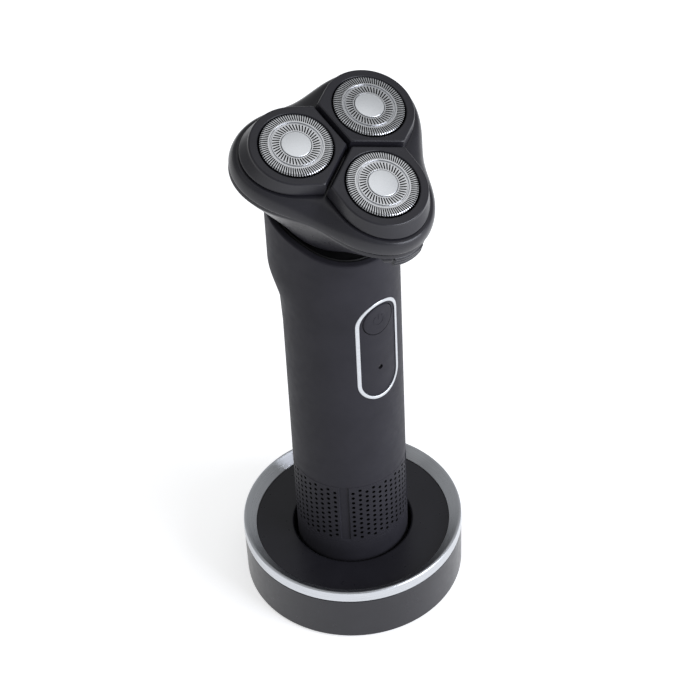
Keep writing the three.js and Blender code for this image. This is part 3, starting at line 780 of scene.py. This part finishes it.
def power_icon(lift):
    """The usual ring with a gap and a bar, as a slightly raised line on the button."""
    radius, line, root, raised = 1.75, 0.2, lift - 0.3, lift + 0.08
    gap_half, steps = math.radians(34), 40

    def ribbon(centres, sides):
        rings = []
        for centre, side in zip(centres, sides):
            low, high = centre - side * line, centre + side * line
            rings.append([
                on_handle(low.x, low.y, root), on_handle(high.x, high.y, root),
                on_handle(high.x, high.y, raised), on_handle(low.x, low.y, raised),
            ])
        return loft("line", rings)

    centre = Vector((0, BUTTON_HEIGHT - 0.15))
    angles = [mix(gap_half, 2 * math.pi - gap_half, i / steps) for i in range(steps + 1)]
    spokes = [Vector((math.sin(a), math.cos(a))) for a in angles]
    arc = ribbon([centre + spoke * radius for spoke in spokes], spokes)
    bar_ends = [centre + Vector((0, reach)) for reach in (0.35, 2.2)]
    bar = ribbon(bar_ends, [Vector((1, 0))] * 2)
    return [arc, bar]


def power_button():
    back = span("power_button")[1].y
    lift, dish, edge, rings = -0.12, 0.14, 0.3, 20
    radius = BUTTON_R
    levels = []
    for share in [i / rings for i in range(rings + 1)]:
        reach = radius - edge + edge * math.sin(share * math.pi / 2)
        drop = edge * (1 - math.cos(share * math.pi / 2))
        levels.append((reach, drop))
    faces = [(reach, 0.0) for reach in (0.001, 1, 2, 3, 4, radius - edge)]
    ring_points = []
    for reach, drop in faces + levels[1:] + [(radius, 2.2)]:
        ring = []
        for angle in turns(FINE):
            x, z = reach * math.cos(angle), reach * math.sin(angle)
            sink = drop + dish * (1 - smoothstep(reach, 1, radius - edge))
            ring.append(on_handle(x, BUTTON_HEIGHT + z, lift) + Vector((0, sink, 0)))
        ring_points.append(ring)
    ring_points.append([Vector((p.x, back, p.z)) for p in ring_points[-1]])
    piece = loft("button_cap", ring_points)
    piece = joined("button_cap", [piece, *power_icon(lift - dish)])
    finished(piece, "soft_black", "power_button", "power_button")


def indicator_lens():
    low, high = span("indicator_lens")
    place = frame_at(Vector((1, 0, 0)), Vector((0, -1, 0)), Vector((0, 0, LAMP_HEIGHT * MM)))
    radius, top = 0.62, -low.y
    piece = lathe("lamp_lens", [
        (0, -high.y), (radius, -high.y), (radius, top - 0.25, 0.2), (0, top - 0.2),
    ], place, count=48)
    finished(piece, "lamp", "handle", "indicator_lens")


def neck_ring():
    """The dark band inside the handle's rim, with a fine step round it."""
    top, depth, bore = 0.9, 4.3, NECK_R + 0.6
    section = [
        (SHELL_WALL + 0.1, top + depth), (SHELL_WALL + 0.1, top), (2.55, top), (2.62, top - 0.04),
        (2.7, top - 0.18), (2.78, top - 0.22), (3.0, top - 0.22), (3.08, top - 0.18),
        (3.12, top + 0.3),
    ]
    rings = [handle_ring(inset, below_rim=drop) for inset, drop in section]
    for level in (RIM - top - 0.3, RIM - top - depth):
        rings.append([HEAD @ (p * MM) / MM for p in circle(bore, level)])
    piece = loft("neck_band", rings, loop=True)
    finished(piece, "deep_black", "handle", "neck_ring")


# ---------------------------------------------------------------- head housing

OUTLINE = 240              # points round a lobed outline, a multiple of six


def lobed(base, wave):
    return lambda angle: base + wave * math.cos(3 * angle)


def lobe_angle(angle):
    sector = math.radians(120)
    return abs(angle - round(angle / sector) * sector)


def petal_outline(half, reach):
    """Three lobes with straight sides and a round front."""
    def outline(angle):
        a = lobe_angle(angle)
        if a > math.atan(half / CUTTER_CIRCLE):
            return half / math.sin(a)
        spread = (math.sin(a) / half) ** 2 + (math.cos(a) / reach) ** 2
        along = CUTTER_CIRCLE * math.cos(a) / reach ** 2
        beyond = (CUTTER_CIRCLE / reach) ** 2 - 1
        return (along + math.sqrt(along ** 2 - spread * beyond)) / spread
    return outline


def blended(first, second, share):
    return lambda angle: mix(first(angle), second(angle), share)


def shrunk(outline, by):
    return lambda angle: outline(angle) - by


def cutter_plane(level):
    """Height of a level of the tilted cutters, under a point of the head."""
    return lambda angle, r: level - CUTTER_SLOPE * (r * math.cos(lobe_angle(angle)) - CUTTER_CIRCLE)


def head_ring(outline, height, shift=0.0):
    points = []
    for angle in turns(OUTLINE):
        r = outline(angle)
        z = height(angle, r) if callable(height) else height
        points.append(Vector((r * math.sin(angle), shift - r * math.cos(angle), z)))
    return points


COVER_EDGE = petal_outline(PETAL_BASE_HALF + 0.3, PETAL_BASE_REACH + 0.3)
WIDEST = lobed(26.5, 4.3)
SEAM_LINE = lobed(25.5, 4.75)
LIP_LINE = lobed(25.6, 4.9)


def head_turned(lobe):
    return HEAD @ Matrix.Rotation(math.radians(120) * lobe, 4, "Z")


def upright(name, radius, low, high, lobe, reach=CUTTER_CIRCLE):
    """A rod along the head's axis, at a distance out along one lobe."""
    profile = [(0, low), (radius, low), (radius, high), (0, high)]
    return lathe(name, profile, head_turned(lobe), FINE, y=-reach)


def crossways(name, radius, low, high, rounding=0.0):
    """A rod along X on the axis of the rear hinge."""
    place = HEAD @ Matrix.Translation(Vector((0, HINGE_Y, HINGE_Z)) * MM)
    place = place @ Matrix.Rotation(math.pi / 2, 4, "Y")
    corner = (rounding,) if rounding else ()
    profile = [(0, low), (radius, low, *corner), (radius, high, *corner), (0, high)]
    return lathe(name, profile, place, 48)


def head_cover():
    top_plane = cutter_plane(COVER_TOP)
    steps, wall, rim = 24, 1.6, 1.7

    def edge_height(angle):
        return top_plane(angle, COVER_EDGE(angle))

    point = lambda angle: 0.0
    rings = [head_ring(point, top_plane), head_ring(shrunk(COVER_EDGE, 1), top_plane)]
    for step in range(steps + 1):
        turn = math.pi / 2 * step / steps
        height = lambda angle, r: mix(COVER_WIDE, edge_height(angle), math.cos(turn))
        rings.append(head_ring(blended(COVER_EDGE, WIDEST, math.sin(turn)), height))
    for share in (0.35, 0.7):
        height = mix(COVER_WIDE, SEAM + 0.15, share)
        rings.append(head_ring(blended(WIDEST, SEAM_LINE, share ** 1.4), height))
    rings.append(head_ring(shrunk(SEAM_LINE, -0.02), SEAM + 0.23))
    rings.append(head_ring(shrunk(SEAM_LINE, 0.1), SEAM + 0.15))
    rings.append(head_ring(shrunk(SEAM_LINE, rim), SEAM + 0.15))
    rings.append(head_ring(shrunk(WIDEST, 1.9), COVER_WIDE + 0.5))
    inside = lambda angle, r: edge_height(angle) - wall
    rings.append(head_ring(shrunk(blended(COVER_EDGE, WIDEST, 0.75), 2), inside))
    rings.append(head_ring(point, lambda angle, r: top_plane(angle, r) - wall))
    piece = loft("cover_shell", rings, HEAD, caps=False)
    cut(piece, *[upright("hole", 10.9, -9, -2, lobe) for lobe in range(3)])
    arm = extruded("arm", rounded([
        (21.3, -9), (22.2, -9.4, 0.4), (HINGE_Y + 1.1, HINGE_Z + 0.5, 0.3), (HINGE_Y, HINGE_Z),
        (21.6, -10.9),
    ]), -HINGE_ARM, HINGE_ARM, "x", HEAD)
    catch = block("catch", (-2.5, -29.6, -9.9), (2.5, -28.4, -9.3), HEAD)
    weld(piece, arm, crossways("knuckle", HINGE_R, -HINGE_ARM, HINGE_ARM, 0.15), catch)
    cut(piece, crossways("bore", HINGE_BORE, -5, 5))
    finished(piece, "satin_black", "head_cover", "head_cover")


def bowl_ring(share, inset):
    """A ring of the bowl at a share of the way down from its lobed lip to its round foot."""
    left = 1 - share ** 1.05
    foot = lambda angle: BOWL_R - inset
    outline = blended(foot, shrunk(LIP_LINE, inset), left)
    return head_ring(outline, mix(LIP_BOTTOM, BOWL_BOTTOM, share), BOWL_SHIFT * share)


def lip_strip(half_angle, outer, inner, z):
    """A stretch of the lip's outline as a closed ring, from one inset to a deeper one."""
    steps = 24
    angles = [math.radians(half_angle) * (2 * i / steps - 1) for i in range(steps + 1)]

    def line(inset):
        radii = [LIP_LINE(a) - inset for a in angles]
        return [Vector((r * math.sin(a), -r * math.cos(a), z)) for r, a in zip(radii, angles)]
    return line(outer) + line(inner)[::-1]


def head_bowl():
    steps, rim, wall, overlap = 18, 1.7, 2, 0.1
    top, cavity_top, cavity_shares = SEAM - 0.15, SEAM - 1.25, (0.2, 0.4, 0.6, 0.88)
    neck = lambda angle: NECK_R
    bore = lambda angle: NECK_BORE
    rings = [head_ring(outline, z) for outline, z in (
        (shrunk(SEAM_LINE, 0.12), top), (shrunk(SEAM_LINE, 0.03), top - 0.04),
        (shrunk(SEAM_LINE, -0.01), top - 0.12), (shrunk(LIP_LINE, 0.02), LIP_BOTTOM + 0.18),
        (LIP_LINE, LIP_BOTTOM + 0.08),
    )]
    rings += [bowl_ring(step / steps, 0) for step in range(steps)]
    rings += [bowl_ring(0.985, 0.05), bowl_ring(1, 0.35), bowl_ring(1, 0.8)]
    rings += [head_ring(outline, z) for outline, z in (
        (neck, BOWL_BOTTOM), (neck, BOWL_BOTTOM - 0.3), (neck, NECK_LOW + 0.3),
        (shrunk(neck, 0.3), NECK_LOW), (bore, NECK_LOW), (bore, -25.6),
    )]
    rings += [bowl_ring(share, wall) for share in reversed(cavity_shares)]
    rings += [head_ring(shrunk(SEAM_LINE, rim), z) for z in (cavity_top, top)]
    piece = loft("bowl_shell", rings, HEAD, loop=True)
    # the thicker wall round the release button, kept out of the cavity
    housing = loft("housing", [
        lip_strip(12, 5.6, 9, -18), lip_strip(14, 0.1, 9, -14), lip_strip(16.5, 0.05, 9, -11.9),
    ], HEAD)
    hollow = [head_ring(shrunk(SEAM_LINE, rim - overlap), z) for z in (top + 2, cavity_top)]
    hollow += [bowl_ring(share, wall - overlap) for share in cavity_shares]
    weld(piece, cut(housing, loft("hollow", hollow, HEAD)))
    half, low, high = 5.2, RELEASE_BOTTOM - 0.3, RELEASE_TOP + 0.3
    corners = [(-half, low), (half, low), (half, high), (-half, high)]
    cut(piece, extruded("pocket", corners, -34, -24, "y", HEAD))
    knuckle = HINGE_ARM + 0.4
    for low, high in ((-HINGE_END, -knuckle), (knuckle, HINGE_END)):
        arm = block("arm", (low, 19.6, HINGE_Z - 1.1), (high, HINGE_Y, HINGE_Z + 1.1), HEAD)
        weld(piece, arm, crossways("knuckle", HINGE_R, low, high, 0.15))
    cut(piece, crossways("bore", HINGE_BORE, -10, 10))
    finished(piece, "satin_black", "head_base", "head_bowl")


def gear_cover():
    low, high = -11.7, -10.5
    outline = lobed(23.1, 4.6)
    rings = [head_ring(shrunk(outline, 0.2), low), head_ring(outline, low + 0.2),
             head_ring(outline, high - 0.25), head_ring(shrunk(outline, 0.25), high)]
    piece = loft("chamber_floor", rings, HEAD)
    gear_circle = 14
    for lobe in range(3):
        collar = lathe("collar", [
            (0, -11), (3.6, -11), (3.6, -8.6, 0.5), (0, -8.6),
        ], head_turned(lobe), FINE, y=-gear_circle)
        weld(piece, collar)
        cut(piece, upright("hole", 2.2, -13, -8, lobe, gear_circle))
    cut(piece, block("slot", (-3, -30, -13), (3, -24.8, -9), HEAD))
    finished(piece, "satin_black", "head_base", "gear_cover")


def release_button():
    low, proud, back, half_angle, steps = 0.35, -0.3, 3.1, 9, 10
    levels = []
    for ridge in range(RIDGES):
        for step in range(steps):
            share = step / steps
            raised = smoothstep(share, 0.04, 0.32) * (1 - smoothstep(share, 0.68, 0.96))
            z = RELEASE_TOP - (ridge + share) * RIDGE_PITCH
            levels.append(lip_strip(half_angle, mix(low, proud, raised), back, z))
    levels.append(lip_strip(half_angle, low, back, RELEASE_BOTTOM))
    piece = loft("release_key", levels[::-1], HEAD)
    arm = block("arm", (-2.4, -27.7, -14.6), (2.4, -26.6, -8.6), HEAD)
    hook = block("hook", (-2.4, -28.2, -9.1), (2.4, -27, -8.6), HEAD)
    finished(weld(piece, arm, hook), "satin_black", "release_button", "release_button")


def hinge_pin():
    piece = crossways("hinge_axle", 0.5, 0.2 - HINGE_END, HINGE_END - 0.2, 0.12)
    finished(piece, "steel", "head_base", "hinge_pin")


# ---------------------------------------------------------------- petals and cutters


def petal_ring(half, reach, groove, z):
    """A petal's outline in its cutter's frame: a round front, straight sides, and two walls
    along the grooves that meet near the head's middle."""
    front_steps, side_steps, wall_steps = 72, 8, 18
    apex = CUTTER_CIRCLE - groove / math.sin(math.radians(60))
    side_end = apex - half / math.tan(math.radians(60))
    points = []
    for i in range(front_steps):
        angle = math.pi + math.pi * i / front_steps
        points.append((half * math.cos(angle), reach * math.sin(angle)))
    corners = [((half, 0), side_steps), ((half, side_end), wall_steps), ((0, apex), wall_steps),
               ((-half, side_end), side_steps), ((-half, 0), 0)]
    for (start, steps), (end, _) in zip(corners, corners[1:]):
        for i in range(steps):
            share = i / steps
            points.append((mix(start[0], end[0], share), mix(start[1], end[1], share)))
    return [Vector((x, y, z)) for x, y in points]


def hole_ring(radius, z, like):
    """A circle whose points lie in the same directions as another ring's."""
    return [Vector((p.x, p.y, 0)).normalized() * radius + Vector((0, 0, z)) for p in like]


def petal(lobe):
    hole, edge, hole_edge, groove = CUTTER_R + 0.35, 0.55, 0.35, 0.4
    foot, ease = PETAL_BASE + 0.4, 0.08

    def opening(height):
        return groove + 0.9 * smoothstep(height, -2.6, 1.2)

    rings = [petal_ring(PETAL_BASE_HALF - 0.1, PETAL_BASE_REACH - 0.1, groove, PETAL_BASE)]
    rings.append(petal_ring(PETAL_BASE_HALF, PETAL_BASE_REACH, groove, PETAL_BASE + 0.1))
    rings.append(petal_ring(PETAL_BASE_HALF, PETAL_BASE_REACH, groove, foot))
    wall_half, wall_reach, wall_z = PETAL_TOP_HALF + 0.12, PETAL_TOP_HALF + 0.25, PETAL_TOP - edge
    for i in range(1, 9):
        share = i / 8
        height = mix(foot, wall_z, share)
        half = mix(PETAL_BASE_HALF, wall_half, share)
        reach = mix(PETAL_BASE_REACH, wall_reach, share)
        rings.append(petal_ring(half, reach, opening(height), height))
    top_groove = opening(wall_z)
    for i in range(1, ARC + 1):
        turn = math.pi / 2 * i / ARC
        inset, height = edge * (1 - math.cos(turn)), wall_z + edge * math.sin(turn)
        rings.append(petal_ring(wall_half - inset, wall_reach - inset, top_groove + inset, height))
    flat_edge = rings[-1]
    half, reach = wall_half - edge - ease, wall_reach - edge - ease
    rings.append(petal_ring(half, reach, top_groove + edge + ease, PETAL_TOP))
    rings.append(hole_ring(hole + hole_edge + 0.05, PETAL_TOP, flat_edge))
    for i in range(ARC + 1):
        turn = math.pi / 2 * i / ARC
        radius = hole + hole_edge * (1 - math.sin(turn))
        rings.append(hole_ring(radius, PETAL_TOP - hole_edge * (1 - math.cos(turn)), flat_edge))
    rings.append(hole_ring(hole, PETAL_TOP - hole_edge - 0.05, flat_edge))
    rings.append(hole_ring(hole, PETAL_BASE, flat_edge))
    piece = loft(f"petal_shell_{lobe}", rings, CUTTERS[lobe], loop=True)
    finished(piece, "satin_black", f"petal_unit_{lobe}", f"petal_{lobe}")


def slots(count, inner, outer, width, depth, slant):
    """Narrow blades that cut a ring of slots, each turned a little from the radius. The slots' walls and floors
    take the blades' near-black, as painted shade in the slots.
    """
    blades = []
    for turn in turns(count):
        middle, half = (inner + outer) / 2, (outer - inner) / 2
        place = Matrix.Rotation(turn, 4, "Z") @ Matrix.Translation(Vector((middle, 0, 0)) * MM)
        place = place @ Matrix.Rotation(math.radians(slant), 4, "Z")
        blades.append(block("slot", (-half, -width / 2, -depth), (half, width / 2, 1), place))
    # this near-black becomes painted shade on the walls and floors of the slots
    return painted(joined("slots", blades), "deep_black")


def outer_cutter_shape():
    """One slotted cutter at the origin; the three heads share its shape."""
    side_low, wall_in, under = -2.9, 8.9, -0.85
    piece = lathe("slotted_cutter", [
        (CAP_R + 0.15, under), (CAP_R + 0.15, 0, 0.06), (6.6, 0, 0.06), (6.7, -0.35, 0.04),
        (7.0, -0.35, 0.04), (7.1, 0, 0.06), (CUTTER_R, 0, 0.6), (CUTTER_R, side_low),
        (wall_in, side_low), (wall_in, under),
    ])
    painted(piece, "cutter_steel")
    cut(piece, slots(44, 4.42, 6.4, 0.36, 0.5, 15))
    cut(piece, slots(88, 7.5, 10.2, 0.34, 0.7, 9))
    return piece


def cutters():
    pattern = outer_cutter_shape()
    for lobe in LOBES:
        body = f"petal_unit_{lobe}"
        ring = bpy.data.objects.new(f"slotted_ring_{lobe}", pattern.data.copy())
        bpy.context.scene.collection.objects.link(ring)
        ring.matrix_world = CUTTERS[lobe]
        finished(ring, "cutter_steel", body, f"outer_cutter_{lobe}")
        dome = [(CAP_R * share, 0.34 - 0.16 * share ** 2) for share in (0.9, 0.75, 0.5, 0.25, 0)]
        cap = lathe(f"centre_cap_{lobe}", [
            (0, -0.95), (CAP_R, -0.95), (CAP_R, 0.18, 0.14), *dome,
        ], CUTTERS[lobe], FINE)
        finished(cap, "cap_aluminium", body, f"cutter_cap_{lobe}")
        keeper = lathe(f"retaining_ring_{lobe}", [
            (8.9, -4.2, 0.1), (CUTTER_R + 0.05, -4.2, 0.15), (CUTTER_R + 0.05, -3.2), (8.9, -3.2),
        ], CUTTERS[lobe])
        finished(keeper, "deep_black", body, f"cutter_retainer_{lobe}")
    bpy.data.objects.remove(pattern)


def inner_cutter(lobe):
    """A disc with twelve blades, and a hub with a hexagonal socket for the drive."""
    place = CUTTERS[lobe]
    blades, hub_r, hub_low, disc_r, disc_low, disc_high = 12, 3.2, -5.2, 8.4, -3.6, -2.6
    piece = lathe(f"blade_wheel_{lobe}", [
        (0, hub_low), (hub_r, hub_low, 0.2), (hub_r, disc_low, 0.2), (disc_r, disc_low, 0.15),
        (disc_r, disc_high, 0.1), (0, disc_high),
    ], place, FINE)
    wheel = []
    for turn in turns(blades):
        outline = [(-0.35, -2.8), (0.35, -2.8), (0.2, -1.15), (-0.35, -1.15)]
        wheel.append(extruded("blade", outline, 5, 8.2, "x", place @ Matrix.Rotation(turn, 4, "Z")))
    weld(piece, joined("blades", wheel))
    hexagon = [(2.5 * math.cos(a), 2.5 * math.sin(a)) for a in turns(6)]
    cut(piece, extruded("socket", hexagon, hub_low - 1, -3.3, "z", place))
    finished(piece, "steel", f"inner_cutter_{lobe}", f"inner_cutter_{lobe}")


# ---------------------------------------------------------------- stage


def direction(azimuth, elevation):
    """A unit vector outwards, at degrees round from the front and degrees up."""
    a, e = math.radians(azimuth), math.radians(elevation)
    return Vector((math.sin(a) * math.cos(e), -math.cos(a) * math.cos(e), math.sin(e)))


def camera():
    aim, distance, lens = Vector((0.00222, 0.00012, 0.08625)), 0.69, 123.8
    outward, roll = direction(-37.44, 43.3), math.radians(-2.84)
    turn = outward.to_track_quat("Z", "Y").to_matrix() @ Matrix.Rotation(roll, 3, "Z")
    data = bpy.data.cameras.new("camera")
    data.lens, data.sensor_width = lens, 36
    data.clip_start, data.clip_end = 0.01, 20
    view = bpy.data.objects.new("camera", data)
    bpy.context.scene.collection.objects.link(view)
    view.matrix_world = Matrix.Translation(aim + outward * distance) @ turn.to_4x4()
    bpy.context.scene.camera = view


def soft_light(name, azimuth, elevation, distance, size, power, tone=(1, 1, 1)):
    """A square light that looks at the middle of the shaver."""
    middle, outward = Vector((0, 0, 0.1)), direction(azimuth, elevation)
    data = bpy.data.lights.new(name, "AREA")
    data.size, data.energy, data.color = size, power, tone
    lamp_object = bpy.data.objects.new(name, data)
    bpy.context.scene.collection.objects.link(lamp_object)
    turn = outward.to_track_quat("Z", "Y").to_matrix().to_4x4()
    lamp_object.matrix_world = Matrix.Translation(middle + outward * distance) @ turn


def studio():
    world = bpy.data.worlds.new("studio")
    world.use_nodes = True
    background = world.node_tree.nodes["Background"]
    background.inputs["Color"].default_value = (0.97, 0.985, 1.0, 1)
    background.inputs["Strength"].default_value = 0.45
    bpy.context.scene.world = world
    bpy.context.scene.view_settings.view_transform = "Standard"
    soft_light("top", 71.6, 71.8, 1.3, 0.7, 0.95)
    soft_light("left", -105, 30, 1.2, 0.6, 0.5)
    soft_light("right", 22, 20, 1.2, 0.8, 15.0, (0.88, 0.91, 1.0))
    half, below = 3.0, -0.05
    floor = built("floor", [Vector((x * half / MM, y * half / MM, below)) for x, y in
                            ((-1, -1), (1, -1), (1, 1), (-1, 1))], [(0, 1, 2, 3)])
    floor.data.materials[0] = floor_paper().material


# ---------------------------------------------------------------- everything together


def carried_over():
    """Every node that stays as CAD gets the material of its slot."""
    for subpart in frame["record"]["subparts"]:
        painted(frame["nodes"][subpart["node"]], subpart["material_slot"])


camera()
studio()
carried_over()
for make in (
    stand_shell, stand_trim_ring, stand_deck, stand_underside, power_inlet, charging_pins,
    handle_shell, grip_sleeve, base_cap, contact_pads, panel_trim_ring, control_panel,
    power_button, indicator_lens, neck_ring, head_cover, head_bowl, gear_cover,
    release_button, hinge_pin, cutters,
):
    make()
for lobe_name in LOBES:
    petal(lobe_name)
    inner_cutter(lobe_name)

bpy.context.view_layer.update()
